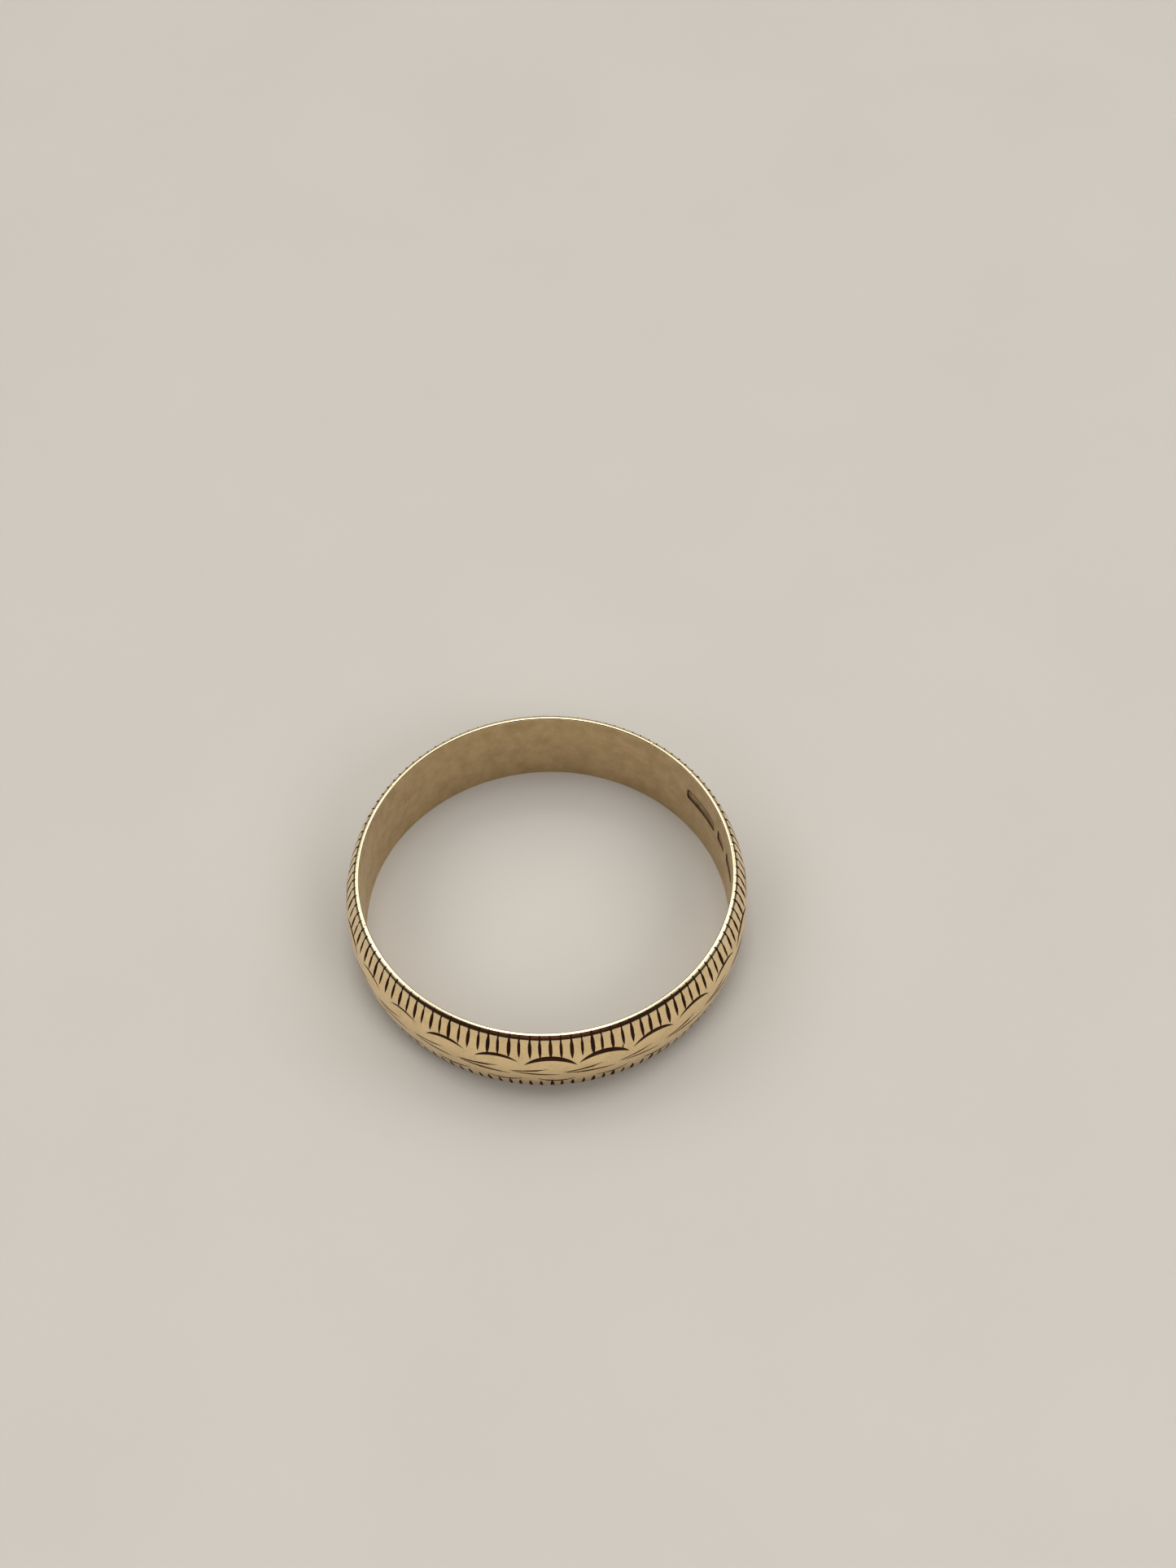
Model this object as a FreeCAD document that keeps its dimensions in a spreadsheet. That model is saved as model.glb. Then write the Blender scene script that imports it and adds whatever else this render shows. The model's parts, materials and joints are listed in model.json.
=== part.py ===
import FreeCAD, Part
import math
import os
import Sketcher

# Wedding band: one solid ring with a domed outside, a plain finger bore and engraved rows.
# Frame: origin at the middle of the finger bore, +Z along the ring's axis, and the middle
# of one scallop at the front, on -Y. The ring lies flat on the land of its lower edge.
# Lengths are in millimetres and angles in degrees.

DIMENSIONS = (
    # Body of the ring
    ("finger_bore_diameter", 18.3),
    ("band_width", 4.75),
    ("crown_thickness", 0.80),
    ("dome_edge_thickness", 0.37),
    ("bore_edge_radius", 0.06),
    ("edge_land_width", 0.07),
    ("shoulder_height", 0.28),
    ("shoulder_radius", 0.40),
    # Rows of long and short axial cuts along both edges
    ("cut_pair_count", 61),
    ("cut_row_inset", 0.74),
    ("long_cut_depth", 0.058),
    ("short_cut_depth", 0.036),
    ("cut_flank_angle", 50.0),
    # Scallops: crescents from a tilted ring-shaped cutter
    ("scallop_count", 24),
    ("scallop_top_offset", 1.08),
    ("scallop_cutter_radius", 1.65),
    ("scallop_depth", 0.070),
    ("scallop_tilt", 11.2),
    ("scallop_flank_angle", 54.0),
    ("lower_scallop_lead", 1.0),
    # Two straw-like strokes in each motif, between the rows of scallops
    ("upper_straw_offset", 0.075),
    ("upper_straw_depth", 0.030),
    ("upper_straw_slope", 12.0),
    ("upper_straw_lead", -5.6),
    ("lower_straw_offset", -0.24),
    ("lower_straw_depth", 0.045),
    ("lower_straw_slope", -3.0),
    ("lower_straw_lead", -4.0),
    ("straw_flank_angle", 60.0),
    # Blank stamps in a row inside the bore
    ("stamp_height", 0.66),
    ("stamp_offset", 0.55),
    ("stamp_depth", 0.045),
    ("long_stamp_length", 2.55),
    ("long_stamp_azimuth", 29.2),
    ("middle_stamp_length", 0.92),
    ("middle_stamp_azimuth", 15.8),
    ("end_stamp_length", 1.45),
    ("end_stamp_azimuth", 5.4),
    # How far each cutting tool reaches past the surface that it cuts
    ("tool_clearance", 0.20),
)

# Sizes that follow from the driving dimensions, in the order in which they are worked out.
WORKED_OUT = (
    ("bore_radius", "=Dimensions.finger_bore_diameter / 2"),
    ("half_width", "=Dimensions.band_width / 2"),
    ("dome_half_width", "=half_width - Dimensions.shoulder_height"),
    ("dome_rise", "=Dimensions.crown_thickness - Dimensions.dome_edge_thickness"),
    ("dome_radius", "=(dome_half_width ^ 2 + dome_rise ^ 2) / (2 * dome_rise)"),
    ("crown_radius", "=bore_radius + Dimensions.crown_thickness"),
    ("dome_centre", "=crown_radius - dome_radius"),
    ("cut_offset", "=half_width - Dimensions.cut_row_inset"),
    ("cut_angle", "=asin(cut_offset / dome_radius) / 1 deg"),
    ("short_cut_turn", "=180 / Dimensions.cut_pair_count"),
    ("scallop_sink", "=dome_radius - sqrt(dome_radius ^ 2 - Dimensions.scallop_top_offset ^ 2)"),
    ("scallop_tip_radius", "=crown_radius - scallop_sink - Dimensions.scallop_depth"),
)

# Numbers by which a sketch names its own root point, axes and the ends of an edge.
ROOT = -1
SKETCH_X_AXIS = -1
SKETCH_Y_AXIS = -2
START = 1
END = 2

# The directions of the plane that a sketch is offset from.
PLANE_X = "1; 0; 0"
PLANE_Y = "0; 1; 0"
PLANE_Z = "0; 0; 1"

UPPER = 1
LOWER = -1


def fill_sheet(document, name, rows):
    """Make a spreadsheet with names in column A and, in column B, values under those names."""
    sheet = document.addObject("Spreadsheet::Sheet", name)
    for number, (alias, value) in enumerate(rows, start=1):
        sheet.set("A%d" % number, alias)
        sheet.set("B%d" % number, str(value))
        sheet.setAlias("B%d" % number, alias)
        document.recompute()


def value_of(name):
    """The number under a name such as Dimensions.band_width."""
    sheet, alias = name.split(".")
    return float(document.getObject(sheet).get(alias))


def origin_object(role):
    """The plane or axis of the band's own origin that has this role."""
    matches = [item for item in band.Origin.OriginFeatures if item.Role == role]
    return matches[0]


def add_sketch(name, plane, position=("0", "0", "0"), turns=()):
    """A sketch offset from one of the band's origin planes.

    position holds three expressions, and each turn an axis and an expression for its angle,
    all in the plane's own directions. The turn listed last is made first.
    """
    sketch = band.newObject("Sketcher::SketchObject", name)
    sketch.AttachmentSupport = [(origin_object(plane), "")]
    sketch.MapMode = "FlatFace"
    if turns:
        rotations = ["rotation(vector(%s); %s)" % (axis, angle) for axis, angle in turns]
        sketch.setExpression("AttachmentOffset", "placement(vector(%s); %s)" % (
            "; ".join(position), " * ".join(rotations)))
    return sketch


def bind(sketch, name, expression, kind, *arguments):
    """Add a size constraint under a name of its own and bind it to an expression."""
    index = sketch.addConstraint(Sketcher.Constraint(kind, *arguments))
    sketch.renameConstraint(index, name)
    sketch.setExpression("Constraints." + name, expression)


def arc_between(centre, start, end):
    """The counter-clockwise arc about a centre, from the start point to the end point."""
    radius = (start - centre).Length
    first = math.atan2(start.y - centre.y, start.x - centre.x)
    last = math.atan2(end.y - centre.y, end.x - centre.x)
    if last < first:
        last = last + 2 * math.pi
    return Part.ArcOfCircle(Part.Circle(centre, FreeCAD.Vector(0, 0, 1), radius), first, last)


def mirrored(point):
    """The same point below the middle of the band's width."""
    return FreeCAD.Vector(point.x, -point.y, 0)


def draw_profile(sketch):
    """The band's cross-section: bore, rounded inner edges, lands, shoulders and dome."""
    bore = value_of("WorkedOut.bore_radius")
    top = value_of("WorkedOut.half_width")
    edge = value_of("Dimensions.bore_edge_radius")
    land = value_of("Dimensions.edge_land_width")
    dome_edge = value_of("Dimensions.dome_edge_thickness")
    shoulder = value_of("Dimensions.shoulder_radius")

    bore_top = FreeCAD.Vector(bore, top - edge, 0)
    edge_centre = FreeCAD.Vector(bore + edge, top - edge, 0)
    land_start = FreeCAD.Vector(bore + edge, top, 0)
    land_end = FreeCAD.Vector(bore + edge + land, top, 0)
    dome_end = FreeCAD.Vector(bore + dome_edge, value_of("WorkedOut.dome_half_width"), 0)
    dome_centre = FreeCAD.Vector(value_of("WorkedOut.dome_centre"), 0, 0)
    chord = land_end - dome_end
    sagitta_side = FreeCAD.Vector(-chord.y, chord.x, 0).normalize()
    reach = math.sqrt(shoulder ** 2 - chord.Length ** 2 / 4)
    shoulder_centre = dome_end + chord * 0.5 + sagitta_side * reach

    bore_line = sketch.addGeometry(Part.LineSegment(mirrored(bore_top), bore_top))
    upper_edge = sketch.addGeometry(arc_between(edge_centre, land_start, bore_top))
    upper_land = sketch.addGeometry(Part.LineSegment(land_start, land_end))
    upper_shoulder = sketch.addGeometry(arc_between(shoulder_centre, dome_end, land_end))
    dome = sketch.addGeometry(arc_between(dome_centre, mirrored(dome_end), dome_end))
    lower_shoulder = sketch.addGeometry(
        arc_between(mirrored(shoulder_centre), mirrored(land_end), mirrored(dome_end)))
    lower_land = sketch.addGeometry(Part.LineSegment(mirrored(land_start), mirrored(land_end)))
    lower_edge = sketch.addGeometry(
        arc_between(mirrored(edge_centre), mirrored(bore_top), mirrored(land_start)))

    for joint in (
        (upper_land, END, upper_shoulder, END),
        (upper_shoulder, START, dome, END),
        (dome, START, lower_shoulder, END),
        (lower_shoulder, START, lower_land, END),
    ):
        sketch.addConstraint(Sketcher.Constraint("Coincident", *joint))
    for joint in (
        (bore_line, END, upper_edge, END),
        (upper_edge, START, upper_land, START),
        (bore_line, START, lower_edge, START),
        (lower_edge, END, lower_land, START),
    ):
        sketch.addConstraint(Sketcher.Constraint("Tangent", *joint))
    for ends in (
        (bore_line, START, bore_line, END),
        (upper_land, START, lower_land, START),
        (upper_land, END, lower_land, END),
        (dome, START, dome, END),
    ):
        sketch.addConstraint(Sketcher.Constraint("Symmetric", *ends, SKETCH_X_AXIS))
    sketch.addConstraint(Sketcher.Constraint("Equal", upper_shoulder, lower_shoulder))
    sketch.addConstraint(Sketcher.Constraint("Horizontal", upper_land))

    bind(sketch, "bore_radius", "WorkedOut.bore_radius",
         "DistanceX", ROOT, START, bore_line, END, bore)
    bind(sketch, "half_width", "WorkedOut.half_width",
         "DistanceY", ROOT, START, upper_land, START, top)
    bind(sketch, "edge_radius", "Dimensions.bore_edge_radius",
         "Radius", upper_edge, edge)
    bind(sketch, "land_width", "Dimensions.edge_land_width",
         "DistanceX", upper_land, START, upper_land, END, land)
    bind(sketch, "dome_edge", "Dimensions.dome_edge_thickness",
         "DistanceX", bore_line, END, dome, END, dome_edge)
    bind(sketch, "dome_half_width", "WorkedOut.dome_half_width",
         "DistanceY", ROOT, START, dome, END, dome_end.y)
    bind(sketch, "shoulder_radius", "Dimensions.shoulder_radius",
         "Radius", upper_shoulder, shoulder)
    bind(sketch, "dome_radius", "WorkedOut.dome_radius",
         "Radius", dome, value_of("WorkedOut.dome_radius"))


def draw_vee(sketch, depth_name, flank_name):
    """A V with its tip on the sketch's origin, open towards the top of the sketch."""
    height = value_of(depth_name) + value_of("Dimensions.tool_clearance")
    half = height * math.tan(math.radians(value_of(flank_name)))
    tip = FreeCAD.Vector(0, 0, 0)
    left = FreeCAD.Vector(-half, height, 0)
    right = FreeCAD.Vector(half, height, 0)
    first_flank = sketch.addGeometry(Part.LineSegment(tip, left))
    mouth = sketch.addGeometry(Part.LineSegment(left, right))
    second_flank = sketch.addGeometry(Part.LineSegment(right, tip))
    for joint in (
        (first_flank, START, ROOT, START),
        (first_flank, END, mouth, START),
        (mouth, END, second_flank, START),
        (second_flank, END, ROOT, START),
    ):
        sketch.addConstraint(Sketcher.Constraint("Coincident", *joint))
    sketch.addConstraint(Sketcher.Constraint(
        "Symmetric", mouth, START, mouth, END, SKETCH_Y_AXIS))
    reach = "(%s + Dimensions.tool_clearance)" % depth_name
    bind(sketch, "vee_height", reach, "DistanceY", ROOT, START, mouth, START, height)
    bind(sketch, "vee_mouth", "2 * %s * tan(%s)" % (reach, flank_name),
         "DistanceX", mouth, START, mouth, END, 2 * half)


def cut_straight(name, sketch, length_expression):
    """Take a straight prism off the band, to both sides of its sketch."""
    pocket = band.newObject("PartDesign::Pocket", name)
    pocket.Profile = sketch
    pocket.Type = "Length"
    pocket.Midplane = True
    pocket.Refine = False
    pocket.setExpression("Length", length_expression)
    return pocket


def cut_turned(name, sketch, axis, angle_expression):
    """Take a turned shape off the band, to both sides of its sketch."""
    groove = band.newObject("PartDesign::Groove", name)
    groove.Profile = sketch
    groove.ReferenceAxis = axis
    groove.Midplane = True
    groove.Refine = False
    groove.setExpression("Angle", angle_expression)
    return groove


def cut_row_seed(name, depth_name, turn, side):
    """One axial cut near an edge: a straight V that the dome's curve leaves at both ends."""
    deep_radius = "(WorkedOut.dome_radius - %s)" % depth_name
    from_axis = "(WorkedOut.dome_centre + %s * cos(WorkedOut.cut_angle))" % deep_radius
    position = (
        "%s * sin(%s)" % (from_axis, turn),
        "-%s * cos(%s)" % (from_axis, turn),
        "%d * %s * sin(WorkedOut.cut_angle)" % (side, deep_radius),
    )
    sketch = add_sketch(name + "Section", "XY_Plane", position, (
        (PLANE_Z, turn),
        (PLANE_X, "%d * WorkedOut.cut_angle" % -side),
        (PLANE_Z, "180"),
    ))
    draw_vee(sketch, depth_name, "Dimensions.cut_flank_angle")
    return cut_straight(name, sketch, "2 * Dimensions.cut_row_inset + Dimensions.tool_clearance")


def scallop_seed(name, turn, side):
    """One crescent: a V-edged ring cutter, tilted so that only its outer part goes in."""
    position = (
        "-WorkedOut.scallop_tip_radius * cos(%s)" % turn,
        "%d * Dimensions.scallop_top_offset" % side,
        "WorkedOut.scallop_tip_radius * sin(%s)" % turn,
    )
    sketch = add_sketch(name + "Section", "YZ_Plane", position, (
        (PLANE_Y, turn),
        (PLANE_Z, "90 - %d * Dimensions.scallop_tilt" % side),
    ))
    draw_vee(sketch, "Dimensions.scallop_depth", "Dimensions.scallop_flank_angle")
    radius = value_of("Dimensions.scallop_cutter_radius")
    axis_x = -side * radius
    axis = sketch.addGeometry(Part.LineSegment(
        FreeCAD.Vector(axis_x, -radius, 0), FreeCAD.Vector(axis_x, radius, 0)), True)
    sketch.addConstraint(Sketcher.Constraint("Symmetric", axis, START, axis, END, SKETCH_X_AXIS))
    across = (axis, START, ROOT, START) if side == UPPER else (ROOT, START, axis, START)
    bind(sketch, "cutter_radius", "Dimensions.scallop_cutter_radius",
         "DistanceX", *across, radius)
    bind(sketch, "axis_length", "2 * Dimensions.scallop_cutter_radius",
         "DistanceY", axis, START, axis, END, 2 * radius)
    return cut_turned(name, sketch, (sketch, ["Axis0"]), "360")


def straw_seed(name, kind):
    """One shallow stroke between the scallops: a straight V along the round of the band."""
    depth_name = "Dimensions.%s_straw_depth" % kind
    turn = "Dimensions.%s_straw_lead" % kind
    deep_radius = "(WorkedOut.crown_radius - %s)" % depth_name
    position = (
        "-%s * cos(%s)" % (deep_radius, turn),
        "Dimensions.%s_straw_offset" % kind,
        "%s * sin(%s)" % (deep_radius, turn),
    )
    sketch = add_sketch(name + "Section", "YZ_Plane", position, (
        (PLANE_Y, turn),
        (PLANE_X, "-Dimensions.%s_straw_slope" % kind),
        (PLANE_Z, "90"),
    ))
    draw_vee(sketch, depth_name, "Dimensions.straw_flank_angle")
    return cut_straight(name, sketch, "WorkedOut.bore_radius / 2")


def cut_stamp(name, kind):
    """One blank stamp: a sunk field of even depth that follows the round of the bore."""
    sketch = add_sketch(name + "Section", "XZ_Plane", turns=(
        (PLANE_Y, "Dimensions.%s_stamp_azimuth" % kind),
    ))
    bore = value_of("WorkedOut.bore_radius")
    clearance = value_of("Dimensions.tool_clearance")
    depth = value_of("Dimensions.stamp_depth")
    height = value_of("Dimensions.stamp_height")
    low = value_of("Dimensions.stamp_offset") - height / 2
    corners = [
        FreeCAD.Vector(bore - clearance, low, 0),
        FreeCAD.Vector(bore + depth, low, 0),
        FreeCAD.Vector(bore + depth, low + height, 0),
        FreeCAD.Vector(bore - clearance, low + height, 0),
    ]
    sides = []
    for corner, following in zip(corners, corners[1:] + corners[:1]):
        sides.append(sketch.addGeometry(Part.LineSegment(corner, following)))
    for side, following in zip(sides, sides[1:] + sides[:1]):
        sketch.addConstraint(Sketcher.Constraint("Coincident", side, END, following, START))
    bottom, wall, top, mouth = sides
    for side, direction in (
        (bottom, "Horizontal"), (wall, "Vertical"), (top, "Horizontal"), (mouth, "Vertical"),
    ):
        sketch.addConstraint(Sketcher.Constraint(direction, side))
    bind(sketch, "floor_radius", "WorkedOut.bore_radius + Dimensions.stamp_depth",
         "DistanceX", ROOT, START, wall, START, bore + depth)
    bind(sketch, "mouth_depth", "Dimensions.stamp_depth + Dimensions.tool_clearance",
         "DistanceX", bottom, START, bottom, END, depth + clearance)
    bind(sketch, "stamp_height", "Dimensions.stamp_height",
         "DistanceY", wall, START, wall, END, height)
    bind(sketch, "stamp_low", "Dimensions.stamp_offset - Dimensions.stamp_height / 2",
         "DistanceY", ROOT, START, wall, START, low)
    length = "Dimensions.%s_stamp_length" % kind
    return cut_turned(name, sketch, (sketch, ["V_Axis"]),
                      "%s / WorkedOut.bore_radius * 180 / pi" % length)


def repeat_round(name, originals, count_name):
    """Repeat cuts evenly round the whole band."""
    pattern = band.newObject("PartDesign::PolarPattern", name)
    pattern.Originals = originals
    pattern.Axis = (origin_object("Z_Axis"), [""])
    pattern.Angle = 360
    pattern.Refine = False
    pattern.setExpression("Occurrences", count_name)
    band.Tip = pattern


def check_document():
    """Stop the build if any object failed or the band isn't one valid solid."""
    for item in document.Objects:
        if "Invalid" in item.State or "Error" in item.State:
            raise RuntimeError("%s failed: %s" % (item.Name, item.State))
    if band.Shape.isNull() or not band.Shape.isValid() or len(band.Shape.Solids) != 1:
        raise RuntimeError("the band isn't one valid solid")


document = FreeCAD.newDocument("WeddingBand")
fill_sheet(document, "Dimensions", DIMENSIONS)
fill_sheet(document, "WorkedOut", WORKED_OUT)

band = document.addObject("PartDesign::Body", "Band")
band.Label = "band"
band.Placement = FreeCAD.Placement()

profile = add_sketch("BandSection", "XZ_Plane")
draw_profile(profile)
turning = band.newObject("PartDesign::Revolution", "BandTurning")
turning.Profile = profile
turning.ReferenceAxis = (profile, ["V_Axis"])
turning.Angle = 360
turning.Refine = False
document.recompute()
plain_volume = band.Shape.Volume

for stamp_name, stamp_kind in (
    ("LongStamp", "long"), ("MiddleStamp", "middle"), ("EndStamp", "end"),
):
    cut_stamp(stamp_name, stamp_kind)

cuts = []
for side_name, side_sign in (("Upper", UPPER), ("Lower", LOWER)):
    cuts.append(cut_row_seed(
        side_name + "LongCut", "Dimensions.long_cut_depth", "0", side_sign))
    cuts.append(cut_row_seed(
        side_name + "ShortCut", "Dimensions.short_cut_depth", "WorkedOut.short_cut_turn", side_sign))
repeat_round("EdgeCutsRound", cuts, "Dimensions.cut_pair_count")

straws = [straw_seed("UpperStraw", "upper"), straw_seed("LowerStraw", "lower")]
scallops = [
    scallop_seed("UpperScallop", "0", UPPER),
    scallop_seed("LowerScallop", "Dimensions.lower_scallop_lead", LOWER),
]
repeat_round("MotifRound", straws + scallops, "Dimensions.scallop_count")

document.recompute()
check_document()
print("band: %.3f mm3 plain, %.3f mm3 engraved, %d faces" % (
    plain_volume, band.Shape.Volume, len(band.Shape.Faces)))

os.makedirs("parts", exist_ok=True)
band.Shape.exportStep("parts/%s.step" % band.Label)
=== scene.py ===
"""Looks of the wedding band: the engraved gold ring, its studio and its camera.

The band is turned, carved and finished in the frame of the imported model: origin at the
middle of the finger bore, +Z along the ring's axis, and the middle of one scallop at the
front, on -Y. Sizes are in millimetres until the finished mesh is brought to metres.
"""

import json
import logging
import math
import random
from collections.abc import Callable, Iterable, Iterator
from dataclasses import dataclass
from enum import IntEnum
from functools import partial
from typing import ClassVar

import bmesh
import bpy
from bmesh.types import BMesh, BMFace
from bpy.types import Material, Mesh, Node, NodeSocket, NodeTree, Object
from mathutils import Matrix, Vector


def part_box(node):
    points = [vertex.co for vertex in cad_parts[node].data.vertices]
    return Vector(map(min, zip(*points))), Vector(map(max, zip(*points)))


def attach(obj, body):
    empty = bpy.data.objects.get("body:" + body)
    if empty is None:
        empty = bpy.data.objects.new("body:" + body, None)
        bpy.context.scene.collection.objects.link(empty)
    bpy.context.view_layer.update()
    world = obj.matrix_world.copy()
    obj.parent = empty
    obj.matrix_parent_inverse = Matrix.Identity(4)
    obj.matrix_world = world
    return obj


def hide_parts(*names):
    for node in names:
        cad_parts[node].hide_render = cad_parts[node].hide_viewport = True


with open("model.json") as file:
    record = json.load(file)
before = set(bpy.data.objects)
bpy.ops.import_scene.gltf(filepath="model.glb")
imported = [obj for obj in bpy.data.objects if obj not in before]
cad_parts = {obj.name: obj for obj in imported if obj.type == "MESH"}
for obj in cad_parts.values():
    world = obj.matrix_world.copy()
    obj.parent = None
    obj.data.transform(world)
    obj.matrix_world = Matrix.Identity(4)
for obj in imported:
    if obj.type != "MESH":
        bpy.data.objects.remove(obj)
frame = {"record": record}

LOG = logging.getLogger("wedding_band")
METRES = 0.001
FULL_TURN = 2 * math.pi

Colour = tuple[float, float, float]
Place = tuple[float, float, float]
Setting = NodeSocket | NodeTree | float | str | tuple[float, ...]


class Zone(IntEnum):
    """Parts of the band's surface, by the number of their material."""

    DOME = 0
    RIM = 1
    BORE = 2
    LIP = 3
    CUT = 4
    STRAW = 5
    STAMP = 6


class Side(IntEnum):
    """The half of the band that a row of cuts is on."""

    UPPER = 1
    LOWER = -1


def circle_point(centre: Vector, radius: float, angle: float) -> Vector:
    """A point of a circle in the plane of the cross-section.

    Args:
        centre: the circle's centre, as distance from the ring's axis and height.
        radius: its radius.
        angle: the angle in radians from straight outwards.

    Returns:
        The point, as distance from the ring's axis and height.
    """
    return centre + radius * Vector((math.cos(angle), math.sin(angle)))


def turned_frame(across: Vector, outwards: Vector, along: Vector, spot: Vector,
                 azimuth: float) -> Matrix:
    """A frame given at the front of the ring, turned round the ring's axis.

    Args:
        across: its X direction at the front.
        outwards: its Y direction at the front.
        along: its Z direction at the front.
        spot: its origin at the front.
        azimuth: degrees from the front, counter-clockwise seen from above.

    Returns:
        The frame.
    """
    place = Matrix((across, outwards, along)).transposed().to_4x4()
    place.translation = spot
    return Matrix.Rotation(math.radians(azimuth), 4, "Z") @ place


@dataclass(frozen=True)
class Spot:
    """A point of the outside in the cross-section, and how far the surface leans there."""

    point: Vector
    lean: float


@dataclass(frozen=True)
class Section:
    """The band's cross-section. The bore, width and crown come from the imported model."""

    bore_radius: float
    half_width: float
    crown_radius: float
    edge_thickness: float = 0.37
    bore_edge_radius: float = 0.06
    land_width: float = 0.07
    shoulder_height: float = 0.28
    shoulder_radius: float = 0.40
    bore_steps: int = 6
    edge_steps: int = 5
    shoulder_steps: int = 8
    dome_steps: int = 15
    turning_steps: int = 366

    @property
    def dome_half_width(self) -> float:
        """Half the width of the engraved dome."""
        return self.half_width - self.shoulder_height

    @property
    def dome_radius(self) -> float:
        """Radius of the dome's arc across the band."""
        rise = self.crown_radius - self.bore_radius - self.edge_thickness
        return (self.dome_half_width ** 2 + rise ** 2) / (2 * rise)

    @property
    def dome_centre(self) -> float:
        """Distance of the centre of the dome's arc from the ring's axis."""
        return self.crown_radius - self.dome_radius

    def lean(self, height: float) -> float:
        """Angle in radians by which the dome leans towards +Z at a height."""
        return math.asin(height / self.dome_radius)

    @property
    def land_end(self) -> Vector:
        """Where the upper land meets the shoulder."""
        return Vector((self.bore_radius + self.bore_edge_radius + self.land_width,
                       self.half_width))

    @property
    def dome_end(self) -> Vector:
        """Where the upper shoulder meets the dome."""
        return Vector((self.bore_radius + self.edge_thickness, self.dome_half_width))

    @property
    def shoulder_centre(self) -> Vector:
        """The centre of the upper shoulder's arc.

        Returns:
            The centre, as distance from the ring's axis and height.
        """
        chord = self.dome_end - self.land_end
        reach = math.sqrt(self.shoulder_radius ** 2 - chord.length_squared / 4)
        inwards = Vector((chord.y, -chord.x)).normalized()
        return (self.land_end + self.dome_end) / 2 + inwards * reach

    def dome_spot(self, height: float) -> Spot:
        """The spot of the dome at a height above the middle of the band."""
        lean = self.lean(height)
        return Spot(circle_point(Vector((self.dome_centre, 0)), self.dome_radius, lean), lean)

    def shoulder_spot(self, side: Side) -> Spot:
        """The spot in the middle of a shoulder.

        Args:
            side: the edge that the shoulder is on.

        Returns:
            The spot.
        """
        chord = self.dome_end - self.land_end
        lean = math.atan2(chord.x, -chord.y)
        middle = circle_point(self.shoulder_centre, self.shoulder_radius, lean)
        return Spot(Vector((middle.x, side * middle.y)), side * lean)

    def upper_outline(self) -> list[Vector]:
        """The outline from the middle of the bore over the upper edge to the crown.

        Returns:
            Points as distance from the ring's axis and height.
        """
        edge = self.bore_edge_radius
        bore_top = self.half_width - edge
        points = [Vector((self.bore_radius, bore_top * step / self.bore_steps))
                  for step in range(self.bore_steps + 1)]
        edge_centre = Vector((self.bore_radius + edge, bore_top))
        points += self.arc(edge_centre, edge, math.pi, math.pi / 2, self.edge_steps)
        points.append(self.land_end)
        centre = self.shoulder_centre
        first = self.land_end - centre
        last = self.dome_end - centre
        points += self.arc(centre, self.shoulder_radius, math.atan2(first.y, first.x),
                           math.atan2(last.y, last.x), self.shoulder_steps)
        points += self.arc(Vector((self.dome_centre, 0)), self.dome_radius,
                           self.lean(self.dome_half_width), 0, self.dome_steps)
        return points

    @staticmethod
    def arc(centre: Vector, radius: float, first: float, last: float,
            steps: int) -> list[Vector]:
        """Points along an arc of the outline, without its first one.

        Args:
            centre: the arc's centre.
            radius: its radius.
            first: the angle in radians at which it starts.
            last: the angle at which it ends.
            steps: how many stretches it has.

        Returns:
            The points.
        """
        return [circle_point(centre, radius, first + (last - first) * step / steps)
                for step in range(1, steps + 1)]

    def turn(self, mesh: BMesh) -> None:
        """Turn the outline into the whole plain ring.

        Args:
            mesh: the empty mesh that gets the ring.
        """
        upper = self.upper_outline()
        lower = [Vector((point.x, -point.y)) for point in reversed(upper[1:-1])]
        verts = [mesh.verts.new((point.x, 0, point.y)) for point in upper + lower]
        edges = [mesh.edges.new(pair) for pair in zip(verts, verts[1:] + verts[:1])]
        bmesh.ops.spin(mesh, geom=verts + edges, cent=(0, 0, 0), axis=(0, 0, 1),
                       angle=FULL_TURN, steps=self.turning_steps, use_merge=True)
        bmesh.ops.recalc_face_normals(mesh, faces=mesh.faces)
        for face in mesh.faces:
            face.material_index = self.zone(face.calc_center_median())

    def zone(self, point: Vector) -> Zone:
        """The zone of the plain ring that a face lies in.

        Args:
            point: the middle of the face.

        Returns:
            The zone.
        """
        bore_margin = self.bore_edge_radius / 4
        inside = point.xy.length < self.bore_radius + bore_margin
        if inside and abs(point.z) < self.half_width - self.bore_edge_radius:
            return Zone.BORE
        if not inside and abs(point.z) < self.dome_half_width:
            return Zone.DOME
        return Zone.RIM

    def normal(self, point: Vector, zone: Zone) -> Vector:
        """The true normal of the plain bore or dome at a point.

        Args:
            point: the point.
            zone: the zone of the face that the point belongs to.

        Returns:
            The normal, or a zero vector where the mesh's own normal is kept.
        """
        if zone not in (Zone.BORE, Zone.DOME):
            return Vector()
        distance = math.hypot(point.x, point.y)
        if zone is Zone.BORE:
            return Vector((-point.x / distance, -point.y / distance, 0))
        outwards = (distance - self.dome_centre) / distance
        return Vector((point.x * outwards, point.y * outwards, point.z)).normalized()


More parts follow.
